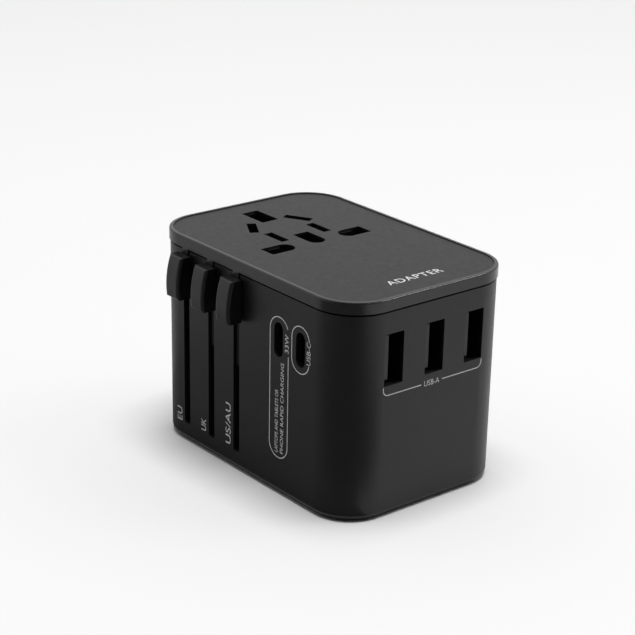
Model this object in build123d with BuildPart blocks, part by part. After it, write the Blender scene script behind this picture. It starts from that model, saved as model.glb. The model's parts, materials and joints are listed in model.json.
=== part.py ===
from build123d import *
import os

# Universal travel adapter, as separate pieces. Millimetres, +Z up, origin at the centre of the
# bottom face. The world socket is in the top face, the plugs slide out of the bottom face, -Y is
# the long side with the three plug sliders and the USB-C ports, and +X is the short side with the
# USB-A ports. Everything is drawn with the plugs retracted.

os.makedirs("parts", exist_ok=True)

# ---------------------------------------------------------------- driving dimensions
# Casing
body_length = 73.6
body_width = 50.1
corner_radius = 10.6
seam_height = 50.2
total_height = 53.0
wall = 2.0
floor_thickness = 1.8
base_fillet = 2.0
seam_gap = 0.5
seam_depth = 0.9
cover_overhang = 0.27
cover_edge_fillet = 0.4
rim_width = 1.0
panel_thickness = 0.6
panel_recess = 0.2
skirt_thickness = 1.2
skirt_bottom = 47.4
fit_gap = 0.1

# Slots and sliders on the -Y side
eu_slot_x = -23.0
uk_slot_x = -13.0
us_slot_x = -3.0
slot_width = 2.3
slot_bottom = 4.9
slot_end_radius = 0.6
tongue_bottom = 48.3
knob_width = 5.1
knob_bottom = 38.5
knob_top = 48.8
knob_gap = 0.45
knob_front_bottom = 4.2
knob_front_middle = 4.4
knob_front_top = 3.1
knob_edge_fillet = 0.8
stem_width = 1.9
stem_bottom = 40.0
stem_top = 46.8
leg_width = 2.1
leg_recess = 0.7
web_width = 4.4
web_thickness = 2.2
web_top = 47.0
slide_clearance = 0.2

# World socket in the top face
socket_y = -1.0
socket_pin_x = -3.75
round_pin_pitch = 19.0
pin_hole_width = 4.75
blade_hole_length = 5.3
earth_distance = 22.2
earth_hole_length = 8.5
flat_slot_x = -11.0
flat_pitch = 12.7
flat_slot_length = 7.0
flat_slot_width = 2.3
angled_slot_x = -19.7
angled_pitch = 13.74
angled_slot_angle = 30.0
centre_hole_back = -10.1
centre_hole_front = -1.9
centre_hole_width = 4.4
shutter_low = 47.7
shutter_high = 49.8
shutter_travel = 5.4
shutter_tail = 6.0
shutter_seat_x = 15.0
guide_rib_width = 0.55
earth_rib_width = 0.4
guide_rib_length = 3.4

# Plugs: every plug is centred on one line along X
plug_y = -1.5
eu_plug_x = -14.2
eu_block_width = 12.4
eu_block_length = 32.0
eu_pin_diameter = 4.0
eu_pin_length = 19.0
eu_pin_retracted_tip = 1.0
eu_carriage_bottom = 34.9
eu_carriage_thickness = 2.0
uk_plug_x = -4.8
uk_pin_pitch = 22.2
uk_pin_width = 6.35
uk_pin_thickness = 4.0
uk_pin_length = 17.7
uk_sleeve_length = 9.5
uk_earth_x = -27.0
uk_earth_width = 8.0
uk_earth_length = 22.7
uk_carriage_bottom = 25.5
uk_carriage_thickness = 3.9
us_plug_x = 3.0
us_pin_pitch = 12.7
us_blade_width = 6.35
us_blade_thickness = 1.5
us_blade_length = 17.0
us_hub_radius = 3.5
us_hub_standout = 3.6
us_axle_radius = 2.2
us_carriage_bottom = 23.6
us_carriage_thickness = 3.9
running_clearance = 0.05
floor_clearance = 0.2
plug_hole_clearance = 0.2

# USB ports
usb_a_y = (-11.45, 0.55, 12.55)
usb_centre_z = 38.5
usb_a_opening_height = 12.3
usb_a_opening_width = 5.45
usb_a_depth = 14.0
usb_a_tongue_recess = 0.5
usb_a_tongue_thickness = 1.84
usb_c_x = (12.85, 20.8)
usb_c_opening_height = 8.3
usb_c_opening_width = 3.2
usb_c_inner_height = 8.34
usb_c_inner_width = 2.56
usb_c_depth = 7.35
port_wall = 0.8
shell_sheet = 0.3

# Charger inside the +X half
barrier_x = 8.5
barrier_thickness = 1.0
power_board_z = 5.0
usb_board_z = 29.8
board_thickness = 1.4
board_back_x = 10.8
board_front_x = 34.2
board_half_width = 22.3
board_corner = 8.0
post_radius = 2.2
board_posts = ((30.6, 18.8), (30.6, -18.8), (12.3, 20.9), (12.3, -20.9))

# ---------------------------------------------------------------- worked-out places
inner_length = body_length - 2 * wall
inner_width = body_width - 2 * wall
inner_radius = corner_radius - wall
front_y = -body_width / 2
front_inside_y = front_y + wall
side_x = body_length / 2
cover_length = body_length + 2 * cover_overhang
cover_width = body_width + 2 * cover_overhang
cover_radius = corner_radius + cover_overhang
panel_top = total_height - panel_recess
panel_bottom = panel_top - panel_thickness
socket_earth_x = socket_pin_x - earth_distance
blade_hole_y = round_pin_pitch / 2 + blade_hole_length / 2
usb_a_front_x = side_x - port_wall - fit_gap
usb_c_front_y = front_y + port_wall + fit_gap
carriage_low = floor_thickness + floor_clearance
uk_travel = uk_carriage_bottom - carriage_low
us_travel = us_carriage_bottom - carriage_low
web_y = front_inside_y + slide_clearance
slider_x = {"eu": eu_slot_x, "uk": uk_slot_x, "us": us_slot_x}

front_plane = Plane(origin=(0, front_y, 0), x_dir=(1, 0, 0), z_dir=(0, -1, 0))
side_plane = Plane(origin=(side_x, 0, 0), x_dir=(0, 1, 0), z_dir=(1, 0, 0))


def span(x_low, x_high, y_low, y_high):
    """Draws a rectangle between two corners in the sketch around it."""
    with Locations(((x_low + x_high) / 2, (y_low + y_high) / 2)):
        Rectangle(x_high - x_low, y_high - y_low)


def block(x_low, x_high, y_low, y_high, z_low, z_high, mode=Mode.ADD):
    """Adds a box between two corners to the part around it."""
    with Locations(((x_low + x_high) / 2, (y_low + y_high) / 2, (z_low + z_high) / 2)):
        Box(x_high - x_low, y_high - y_low, z_high - z_low, mode=mode)


def cylinder(x, y, z_low, z_high, radius, mode=Mode.ADD):
    """Adds an upright cylinder to the part around it."""
    with Locations((x, y, (z_low + z_high) / 2)):
        Cylinder(radius, z_high - z_low, mode=mode)


def draw_socket_holes(growth=0.0):
    """Draws every opening of the world socket, each side moved out by growth."""
    for side in (-1, 1):
        with Locations((socket_pin_x, socket_y + side * round_pin_pitch / 2)):
            Circle(pin_hole_width / 2 + growth)
        with Locations((socket_pin_x, socket_y + side * (blade_hole_y + growth / 2))):
            Rectangle(pin_hole_width + 2 * growth, blade_hole_length + growth)
        with Locations((flat_slot_x, socket_y + side * flat_pitch / 2)):
            Rectangle(flat_slot_length + 2 * growth, flat_slot_width + 2 * growth)
        with Locations((angled_slot_x, socket_y + side * angled_pitch / 2)):
            Rectangle(flat_slot_length + 2 * growth, flat_slot_width + 2 * growth,
                      rotation=side * angled_slot_angle)
    with Locations((socket_earth_x, socket_y)):
        Rectangle(earth_hole_length + 2 * growth, pin_hole_width + 2 * growth)
    centre_hole_radius = centre_hole_width / 2 + growth
    centre_round_x = centre_hole_front - centre_hole_width / 2
    span(centre_hole_back - growth, centre_round_x,
         socket_y - centre_hole_radius, socket_y + centre_hole_radius)
    with Locations((centre_round_x, socket_y)):
        Circle(centre_hole_radius)


# ================================================================ casing
# Main housing: a deep cup with slider slots, port openings and plug openings
with BuildPart() as main_housing:
    with BuildSketch():
        RectangleRounded(body_length, body_width, corner_radius)
    extrude(amount=seam_height)
    fillet(main_housing.edges().group_by(Axis.Z)[0], base_fillet)
    with BuildSketch(Plane.XY.offset(floor_thickness)):
        RectangleRounded(inner_length, inner_width, inner_radius)
    extrude(amount=seam_height, mode=Mode.SUBTRACT)
    # Shadow gap below the cover, cut into the outer half of the wall
    with BuildSketch(Plane.XY.offset(seam_height - seam_gap)):
        RectangleRounded(body_length + wall, body_width + wall, corner_radius + wall / 2)
        RectangleRounded(body_length - 2 * seam_depth, body_width - 2 * seam_depth,
                         corner_radius - seam_depth, mode=Mode.SUBTRACT)
    extrude(amount=seam_gap, mode=Mode.SUBTRACT)
    # Slider slots, open at the top
    with BuildSketch(front_plane) as slots:
        for x in slider_x.values():
            span(x - slot_width / 2, x + slot_width / 2, slot_bottom, seam_height + wall)
        fillet(slots.vertices().group_by(Axis.Z)[0], slot_end_radius)
    extrude(amount=-wall, mode=Mode.SUBTRACT)
    # USB-A and USB-C openings, with the wall thinned behind them
    with BuildSketch(side_plane):
        for y in usb_a_y:
            with Locations((y, usb_centre_z)):
                RectangleRounded(usb_a_opening_width, usb_a_opening_height, shell_sheet)
    extrude(amount=-wall, mode=Mode.SUBTRACT)
    with BuildSketch(side_plane.offset(-port_wall)):
        for y in usb_a_y:
            with Locations((y, usb_centre_z)):
                Rectangle(usb_a_opening_width + 4 * shell_sheet, usb_a_opening_height + 5 * shell_sheet)
    extrude(amount=-wall, mode=Mode.SUBTRACT)
    with BuildSketch(front_plane):
        for x in usb_c_x:
            with Locations((x, usb_centre_z)):
                SlotOverall(usb_c_opening_height, usb_c_opening_width, rotation=90)
    extrude(amount=-wall, mode=Mode.SUBTRACT)
    with BuildSketch(front_plane.offset(-port_wall)):
        for x in usb_c_x:
            with Locations((x + shell_sheet, usb_centre_z)):
                Rectangle(usb_c_opening_width + 8 * shell_sheet, usb_c_opening_height + 6 * shell_sheet)
    extrude(amount=-wall, mode=Mode.SUBTRACT)
    # Plug openings in the floor
    with BuildSketch():
        with Locations((eu_plug_x, plug_y)):
            SlotOverall(eu_block_length + 2 * plug_hole_clearance,
                        eu_block_width + 2 * plug_hole_clearance, rotation=90)
        with Locations((uk_earth_x, plug_y)):
            Rectangle(uk_earth_width + 2 * plug_hole_clearance,
                      uk_pin_thickness + 2 * plug_hole_clearance)
        for side in (-1, 1):
            with Locations((uk_plug_x, plug_y + side * uk_pin_pitch / 2)):
                Rectangle(uk_pin_thickness + 2 * plug_hole_clearance,
                          uk_pin_width + 2 * plug_hole_clearance)
            with Locations((us_plug_x, plug_y + side * us_pin_pitch / 2)):
                Circle(us_hub_radius + plug_hole_clearance)
    extrude(amount=floor_thickness, mode=Mode.SUBTRACT)
    # Board posts: a wide collar carries the power board, the post carries the USB board
    for x, y in board_posts:
        cylinder(x, y, floor_thickness, power_board_z, post_radius + 0.4)
        cylinder(x, y, floor_thickness, usb_board_z, post_radius)
        cylinder(x, y, usb_board_z - 6, usb_board_z, 1.05, mode=Mode.SUBTRACT)
    # Ribs that hold the insulating barrier
    for rib_x in (barrier_x - 1.0, barrier_x + barrier_thickness):
        for side in (-1, 1):
            y_wall = side * inner_width / 2
            block(rib_x, rib_x + 1.0, min(y_wall, y_wall - side * 1.2), max(y_wall, y_wall - side * 1.2),
                  floor_thickness, 44.0)
    # Pockets for the snap hooks of the cover
    for side in (-1, 1):
        hook_x = side * inner_length / 2
        block(min(hook_x, hook_x + side * 0.7), max(hook_x, hook_x + side * 0.7), -4.2, 4.2,
              skirt_bottom - 0.1, skirt_bottom + 0.9, mode=Mode.SUBTRACT)
main_housing.part.label = "main_housing"
export_step(main_housing.part, "parts/main_housing.step")

# Top cover: overhanging rim, plate with the socket openings, skirt, and tongues that close the slots
cover_bosses = ((-30.0, -17.0), (-30.0, 18.0), (-2.5, 18.3), (-8.0, -19.2))
with BuildPart() as top_cover:
    with BuildSketch(Plane.XY.offset(seam_height)):
        RectangleRounded(cover_length, cover_width, cover_radius)
    extrude(amount=total_height - seam_height)
    fillet(top_cover.edges().group_by(Axis.Z)[-1], cover_edge_fillet)
    with BuildSketch(Plane.XY.offset(panel_bottom)):
        RectangleRounded(cover_length - 2 * rim_width, cover_width - 2 * rim_width,
                         cover_radius - rim_width)
    extrude(amount=total_height - panel_bottom, mode=Mode.SUBTRACT)
    with BuildSketch(Plane.XY.offset(skirt_bottom)):
        RectangleRounded(inner_length - 2 * fit_gap, inner_width - 2 * fit_gap, inner_radius - fit_gap)
        RectangleRounded(inner_length - 2 * fit_gap - 2 * skirt_thickness,
                         inner_width - 2 * fit_gap - 2 * skirt_thickness,
                         inner_radius - fit_gap - skirt_thickness, mode=Mode.SUBTRACT)
    extrude(amount=seam_height - skirt_bottom)
    for x in slider_x.values():
        tongue_half = slot_width / 2 - fit_gap / 2
        block(x - tongue_half, x + tongue_half, front_y - cover_overhang, front_inside_y + 0.2,
              tongue_bottom, seam_height)
    for side in (-1, 1):
        hook_x = side * (inner_length / 2 - fit_gap)
        block(min(hook_x, hook_x + side * 0.6), max(hook_x, hook_x + side * 0.6), -4, 4,
              skirt_bottom, skirt_bottom + 0.8)
    for x, y in cover_bosses:
        cylinder(x, y, skirt_bottom, seam_height, 2.2)
    # Seat of the shutter spring
    block(shutter_seat_x, shutter_seat_x + 1.2, socket_y - 1.6, socket_y + 1.6, skirt_bottom, seam_height)
    with BuildSketch(Plane.XY.offset(seam_height)):
        draw_socket_holes(growth=0.05)
    extrude(amount=total_height - seam_height, mode=Mode.SUBTRACT)
    # Guide ribs on the -X side of the openings for rectangular pins
    pin_hole_back = socket_pin_x - pin_hole_width / 2
    earth_hole_back = socket_earth_x - earth_hole_length / 2
    for back, y_low, rib_width in (
            (pin_hole_back, socket_y - blade_hole_y - blade_hole_length / 2 + 2.0, guide_rib_width),
            (pin_hole_back, socket_y + round_pin_pitch / 2 - pin_hole_width / 2 + 1.9, guide_rib_width),
            (earth_hole_back, socket_y - 1.9, earth_rib_width)):
        block(back - fit_gap, back + rib_width, y_low, y_low + guide_rib_length, seam_height,
              panel_bottom)
    for x, y in cover_bosses:
        cylinder(x, y, skirt_bottom, seam_height + 1.0, 1.05, mode=Mode.SUBTRACT)
top_cover.part.label = "top_cover"
export_step(top_cover.part, "parts/top_cover.step")

# Socket panel: thin plate inlaid in the cover
with BuildPart() as socket_panel:
    with BuildSketch(Plane.XY.offset(panel_bottom)):
        RectangleRounded(cover_length - 2 * rim_width - fit_gap, cover_width - 2 * rim_width - fit_gap,
                         cover_radius - rim_width - fit_gap / 2)
    extrude(amount=panel_thickness)
    with BuildSketch(Plane.XY.offset(panel_bottom)):
        draw_socket_holes()
    extrude(amount=panel_thickness, mode=Mode.SUBTRACT)
socket_panel.part.label = "socket_panel"
export_step(socket_panel.part, "parts/socket_panel.step")

# Socket core: insulating box under the cover that keeps the live and neutral contacts apart
core_back, core_front = -32.6, 0.6
core_left, core_right = -17.9, 16.6
core_bottom, core_top = 38.0, 47.2
core_wall = 1.2
earth_tower_bottom = 31.2
with BuildPart() as socket_core:
    block(core_back, core_front, core_left, core_right, core_bottom, core_top)
    fillet(socket_core.edges().filter_by(Axis.Z).group_by(Axis.X)[0], 4.0)
    block(core_back + core_wall, core_front - core_wall, core_left + core_wall, core_right - core_wall,
          core_bottom, core_top - core_wall, mode=Mode.SUBTRACT)
    for x, y in cover_bosses:
        cylinder(x, y, core_top - 3.0, core_top, 2.2)
    # Middle wall and the tower around the earth pin
    block(core_back, core_front, socket_y - 0.5, socket_y + 0.5, core_bottom, core_top)
    tower_half_x = earth_hole_length / 2 + 0.9
    tower_half_y = pin_hole_width / 2 + 0.9
    block(socket_earth_x - tower_half_x, socket_earth_x + tower_half_x, socket_y - tower_half_y,
          socket_y + tower_half_y, earth_tower_bottom, core_top)
    block(centre_hole_back - 0.8, centre_hole_front + 0.8, socket_y - 3.0, socket_y + 3.0,
          core_bottom, core_top)
    with BuildSketch(Plane.XY.offset(earth_tower_bottom)):
        draw_socket_holes(growth=0.15)
    extrude(amount=core_top - earth_tower_bottom, mode=Mode.SUBTRACT)
    for x, y in cover_bosses:
        cylinder(x, y, core_top - 3.0, core_top, 1.1, mode=Mode.SUBTRACT)
        cylinder(x, y, core_bottom, core_top - 3.0, 2.1, mode=Mode.SUBTRACT)
socket_core.part.label = "socket_core"
export_step(socket_core.part, "parts/socket_core.step")

# Screws that pull the socket core up against the bosses of the cover
screw_head_height = 1.4
with BuildPart() as core_screws:
    for x, y in cover_bosses:
        head_low = core_top - 3.0 - screw_head_height
        cylinder(x, y, head_low, head_low + screw_head_height, 1.9)
        cylinder(x, y, head_low + screw_head_height, seam_height + 0.6, 1.0)
        with BuildSketch(Plane.XY.offset(head_low)):
            with Locations((x, y)):
                Rectangle(2.0, 0.5)
                Rectangle(0.5, 2.0)
        extrude(amount=0.7, mode=Mode.SUBTRACT)
core_screws.part.label = "core_screws"
export_step(core_screws.part, "parts/core_screws.step")

# Live and neutral contacts: one sprung strip each, with a jaw for every kind of pin
leaf = 0.4
jaw_top = 45.4
spine_low, spine_high = 39.5, 44.5
for side, contact_name in ((1, "live_contact"), (-1, "neutral_contact")):
    pin_y = socket_y + side * blade_hole_y
    flat_y = socket_y + side * flat_pitch / 2
    angled_y = socket_y + side * angled_pitch / 2
    spine_y = socket_y + side * 10.4
    with BuildPart() as contact:
        # Jaw for rectangular and round pins, bent up from a base strip
        jaw_half = 2.2 + leaf
        block(socket_pin_x - jaw_half, socket_pin_x + jaw_half, pin_y - 2.6, pin_y + 2.6, 32.4, 32.4 + leaf)
        for leaf_x in (socket_pin_x - jaw_half, socket_pin_x + 2.2):
            block(leaf_x, leaf_x + leaf, pin_y - 2.6, pin_y + 2.6, 32.4, jaw_top)
        # Spine along the socket
        block(angled_slot_x - 3.0, socket_pin_x - jaw_half + leaf, spine_y - leaf / 2, spine_y + leaf / 2,
              spine_low, spine_high)
        # Jaw for parallel flat blades
        for leaf_y in (flat_y - 0.75 - leaf, flat_y + 0.75):
            block(flat_slot_x - 2.5, flat_slot_x + 2.5, leaf_y, leaf_y + leaf, core_bottom + 0.4, jaw_top)
        block(flat_slot_x - 2.5, flat_slot_x + 2.5, flat_y - 0.75 - leaf, flat_y + 0.75 + leaf,
              core_bottom, core_bottom + leaf)
        flat_edge = flat_y + side * 0.75
        block(flat_slot_x - 1.0, flat_slot_x + 1.0, min(flat_edge, spine_y), max(flat_edge, spine_y),
              spine_low, spine_low + leaf)
        # Jaw for angled flat blades
        angled_edge = angled_y + side * 0.75
        block(angled_slot_x - 0.8, angled_slot_x + 0.8, min(angled_edge, spine_y),
              max(angled_edge, spine_y), spine_low, spine_low + leaf)
        with BuildSketch(Plane.XY.offset(core_bottom)):
            with Locations((angled_slot_x, angled_y)):
                Rectangle(5.0, 1.5 + 2 * leaf, rotation=side * angled_slot_angle)
        extrude(amount=jaw_top - core_bottom)
        with BuildSketch(Plane.XY.offset(core_bottom + leaf)):
            with Locations((angled_slot_x, angled_y)):
                Rectangle(6.0, 1.5, rotation=side * angled_slot_angle)
        extrude(amount=jaw_top - core_bottom, mode=Mode.SUBTRACT)
    contact.part.label = contact_name
    export_step(contact.part, f"parts/{contact_name}.step")

# Safety shutter: a plate that covers the pin openings until two pins push on its ramps together
shutter_edge = socket_pin_x - shutter_travel + pin_hole_width / 2 + 0.2
with BuildPart() as safety_shutter:
    with BuildSketch(Plane.XY.offset(shutter_low)):
        span(-9.6, 0.2, socket_y - 15.0, socket_y + 15.0)
        span(0.0, shutter_tail, socket_y - 1.6, socket_y + 1.6)
    extrude(amount=shutter_high - shutter_low)
    block(-11.0, -1.0, socket_y - 2.6, socket_y + 2.6, shutter_low, shutter_high, mode=Mode.SUBTRACT)
    for y_low in (socket_y - 15.0, socket_y + 6.5):
        block(-11.0, shutter_edge, y_low, y_low + 8.5, shutter_low, shutter_high, mode=Mode.SUBTRACT)
        with BuildSketch(Plane.XZ.offset(-y_low - 8.5)):
            with BuildLine():
                Polyline((shutter_edge, shutter_low + 0.3), (shutter_edge, shutter_high),
                         (-1.2, shutter_high), close=True)
            make_face()
        extrude(amount=8.5, mode=Mode.SUBTRACT)
safety_shutter.part.label = "safety_shutter"
export_step(safety_shutter.part, "parts/safety_shutter.step")

# Shutter spring, between the shutter's tail and the seat under the cover
shutter_wire_radius = 0.15
with BuildPart() as shutter_spring:
    with BuildLine():
        coil = Helix(pitch=1.2, height=shutter_seat_x - shutter_tail - 2 * fit_gap - 2 * shutter_wire_radius,
                     radius=0.8, direction=(1, 0, 0),
                     center=(shutter_tail + fit_gap + shutter_wire_radius, socket_y,
                             (shutter_low + shutter_high) / 2))
    with BuildSketch(Plane(origin=coil @ 0, z_dir=coil % 0)):
        Circle(shutter_wire_radius)
    sweep(is_frenet=True)
shutter_spring.part.label = "shutter_spring"
export_step(shutter_spring.part, "parts/shutter_spring.step")

# ================================================================ sliders and plugs
# Knobs: a bulged grip outside the slot and a stem that passes through it
for name, x in slider_x.items():
    with BuildPart() as knob:
        with BuildSketch(Plane.YZ.offset(x - knob_width / 2)):
            with BuildLine():
                back = front_y - knob_gap
                front = ThreePointArc((front_y - knob_front_bottom, knob_bottom),
                                      (front_y - knob_front_middle, knob_bottom + 4.0),
                                      (front_y - knob_front_top, knob_top))
                Polyline(front @ 1, (back, knob_top), (back, knob_bottom), front @ 0)
            make_face()
        extrude(amount=knob_width)
        fillet(knob.faces().sort_by(Axis.Y)[0].edges(), knob_edge_fillet)
        block(x - stem_width / 2, x + stem_width / 2, back - 0.1, web_y, stem_bottom, stem_top)
    knob.part.label = f"{name}_knob"
    export_step(knob.part, f"parts/{name}_knob.step")


def add_web(x, z_low):
    """Adds the upright web behind the slot, with pockets for its two detent springs."""
    block(x - web_width / 2, x + web_width / 2, web_y, web_y + web_thickness, z_low, web_top)
    for side in (-1, 1):
        outer = x + side * (web_width / 2 + 0.1)
        inner = x + side * 1.25
        block(min(outer, inner), max(outer, inner), web_y - 0.1, web_y + 1.0, detent_low - 0.2,
              detent_high + 0.2, mode=Mode.SUBTRACT)


def add_leg(x, z_low):
    """Adds the round-ended leg that fills the slot below the knob."""
    leg_y = front_y + leg_recess
    leg_radius = leg_width / 2
    block(x - leg_radius, x + leg_radius, leg_y, web_y + 0.5, z_low + leg_radius, stem_bottom - 0.2)
    with Locations((x, (leg_y + web_y) / 2, z_low + leg_radius)):
        Cylinder(leg_radius, web_y - leg_y, rotation=(90, 0, 0))


detent_low, detent_high = 41.0, 46.0

# EU carriage: plate over the plug block, with an arm to its web
with BuildPart() as eu_carriage:
    with BuildSketch(Plane.XY.offset(eu_carriage_bottom)):
        with Locations((eu_plug_x, plug_y)):
            SlotOverall(eu_block_length, eu_block_width, rotation=90)
        span(-25.2, -18.8, web_y, -9.0)
    extrude(amount=eu_carriage_thickness)
    with BuildSketch(Plane.XY.offset(eu_carriage_bottom)):
        for side in (-1, 1):
            with Locations((eu_plug_x, plug_y + side * round_pin_pitch / 2)):
                Circle(1.5)
    extrude(amount=eu_carriage_thickness, mode=Mode.SUBTRACT)
    add_web(eu_slot_x, eu_carriage_bottom)
eu_carriage.part.label = "eu_carriage"
export_step(eu_carriage.part, "parts/eu_carriage.step")

# EU plug block: reaches into recessed sockets
eu_block_low = eu_pin_retracted_tip + eu_pin_length
with BuildPart() as eu_plug_block:
    with BuildSketch(Plane.XY.offset(eu_block_low)):
        with Locations((eu_plug_x, plug_y)):
            SlotOverall(eu_block_length, eu_block_width, rotation=90)
    extrude(amount=eu_carriage_bottom - eu_block_low)
    fillet(eu_plug_block.edges().group_by(Axis.Z)[0], 1.0)
    with BuildSketch(Plane.XY.offset(eu_block_low)):
        for side in (-1, 1):
            with Locations((eu_plug_x, plug_y + side * round_pin_pitch / 2)):
                Circle(1.5)
    extrude(amount=eu_carriage_bottom - eu_block_low, mode=Mode.SUBTRACT)
eu_plug_block.part.label = "eu_plug_block"
export_step(eu_plug_block.part, "parts/eu_plug_block.step")

# EU pins: a round tip, a thinner shank under an insulating sleeve, and a head on the carriage
eu_sleeve_length = 10.0
eu_pin_radius = eu_pin_diameter / 2
for side, pin_name in ((1, "eu_live_pin"), (-1, "eu_neutral_pin")):
    pin_y = plug_y + side * round_pin_pitch / 2
    eu_head_low = eu_carriage_bottom + eu_carriage_thickness
    with BuildPart() as pin:
        cylinder(eu_plug_x, pin_y, eu_pin_retracted_tip, eu_block_low - eu_sleeve_length, eu_pin_radius)
        fillet(pin.edges().group_by(Axis.Z)[0], 1.4)
        cylinder(eu_plug_x, pin_y, eu_block_low - eu_sleeve_length, eu_head_low, 1.5)
        cylinder(eu_plug_x, pin_y, eu_head_low, eu_head_low + 0.6, 2.4)
    pin.part.label = pin_name
    export_step(pin.part, f"parts/{pin_name}.step")
with BuildPart() as eu_pin_sleeves:
    for side in (-1, 1):
        pin_y = plug_y + side * round_pin_pitch / 2
        cylinder(eu_plug_x, pin_y, eu_block_low - eu_sleeve_length, eu_block_low, eu_pin_radius - 0.25)
        cylinder(eu_plug_x, pin_y, eu_block_low - eu_sleeve_length, eu_block_low, 1.5, mode=Mode.SUBTRACT)
eu_pin_sleeves.part.label = "eu_pin_sleeves"
export_step(eu_pin_sleeves.part, "parts/eu_pin_sleeves.step")

# UK carriage: a frame that passes around the EU plug block
uk_top = uk_carriage_bottom + uk_carriage_thickness
with BuildPart() as uk_carriage:
    with BuildSketch(Plane.XY.offset(uk_carriage_bottom)) as uk_frame:
        span(-7.2, -2.4, -16.6, 21.5)
        span(-31.2, -2.4, 16.0, 21.5)
        span(-31.2, -26.4, plug_y - 2.9, 21.5)
        with Locations((uk_earth_x, plug_y)):
            Rectangle(uk_earth_width + 1.0, uk_pin_thickness + 2.0)
        span(-18.4, -5.8, web_y, -18.3)
        span(-7.8, -5.8, web_y, -14.0)
        fillet(uk_frame.vertices().group_by(Axis.Y)[-1].sort_by(Axis.X)[0], 5.0)
    extrude(amount=uk_carriage_thickness)
    add_web(uk_slot_x, uk_carriage_bottom)
    add_leg(uk_slot_x, slot_bottom + uk_travel + fit_gap)
    block(uk_earth_x - 3.3, uk_earth_x + 3.3, plug_y - 1.5, plug_y + 1.5, uk_carriage_bottom, uk_top,
          mode=Mode.SUBTRACT)
    for side in (-1, 1):
        pin_y = plug_y + side * uk_pin_pitch / 2
        block(uk_plug_x - 1.5, uk_plug_x + 1.5, pin_y - 2.6, pin_y + 2.6, uk_carriage_bottom, uk_top,
              mode=Mode.SUBTRACT)
uk_carriage.part.label = "uk_carriage"
export_step(uk_carriage.part, "parts/uk_carriage.step")

# UK pins: chamfered rectangular pins with a reduced shank under the sleeves
uk_pin_tip = uk_travel - uk_pin_length
uk_sleeve_low = uk_travel - uk_sleeve_length
for side, pin_name in ((1, "uk_live_pin"), (-1, "uk_neutral_pin")):
    pin_y = plug_y + side * uk_pin_pitch / 2
    with BuildPart() as pin:
        block(uk_plug_x - uk_pin_thickness / 2, uk_plug_x + uk_pin_thickness / 2,
              pin_y - uk_pin_width / 2, pin_y + uk_pin_width / 2, uk_pin_tip, uk_sleeve_low)
        chamfer(pin.edges().group_by(Axis.Z)[0], 1.2, 0.9)
        block(uk_plug_x - 1.5, uk_plug_x + 1.5, pin_y - 2.6, pin_y + 2.6, uk_sleeve_low, uk_top)
        block(uk_plug_x - 2.2, uk_plug_x + 2.2, pin_y - 3.3, pin_y + 3.3, uk_top, uk_top + 0.6)
    pin.part.label = pin_name
    export_step(pin.part, f"parts/{pin_name}.step")
with BuildPart() as uk_pin_sleeves:
    for side in (-1, 1):
        pin_y = plug_y + side * uk_pin_pitch / 2
        block(uk_plug_x - uk_pin_thickness / 2, uk_plug_x + uk_pin_thickness / 2,
              pin_y - uk_pin_width / 2, pin_y + uk_pin_width / 2, uk_sleeve_low, uk_carriage_bottom)
        block(uk_plug_x - 1.5, uk_plug_x + 1.5, pin_y - 2.6, pin_y + 2.6, uk_sleeve_low,
              uk_carriage_bottom, mode=Mode.SUBTRACT)
uk_pin_sleeves.part.label = "uk_pin_sleeves"
export_step(uk_pin_sleeves.part, "parts/uk_pin_sleeves.step")
with BuildPart() as uk_earth_pin:
    block(uk_earth_x - uk_earth_width / 2, uk_earth_x + uk_earth_width / 2, plug_y - uk_pin_thickness / 2,
          plug_y + uk_pin_thickness / 2, uk_travel - uk_earth_length, uk_carriage_bottom)
    chamfer(uk_earth_pin.edges().group_by(Axis.Z)[0], 1.4, 1.0)
    block(uk_earth_x - 3.3, uk_earth_x + 3.3, plug_y - 1.5, plug_y + 1.5, uk_carriage_bottom, uk_top)
uk_earth_pin.part.label = "uk_earth_pin"
export_step(uk_earth_pin.part, "parts/uk_earth_pin.step")

# US and AU carriage: a plate with two bores in which the blades turn
us_top = us_carriage_bottom + us_carriage_thickness
with BuildPart() as us_carriage:
    with BuildSketch(Plane.XY.offset(us_carriage_bottom)):
        span(-1.2, 7.2, -13.0, 9.6)
        span(-1.6, 2.6, web_y, -12.0)
        span(-5.2, 2.6, web_y, web_y + 2.4)
    extrude(amount=us_carriage_thickness)
    add_web(us_slot_x, us_carriage_bottom)
    add_leg(us_slot_x, slot_bottom + us_travel + fit_gap)
    for side in (-1, 1):
        cylinder(us_plug_x, plug_y + side * us_pin_pitch / 2, us_carriage_bottom, us_top,
                 us_axle_radius + running_clearance, mode=Mode.SUBTRACT)
us_carriage.part.label = "us_carriage"
export_step(us_carriage.part, "parts/us_carriage.step")

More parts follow.
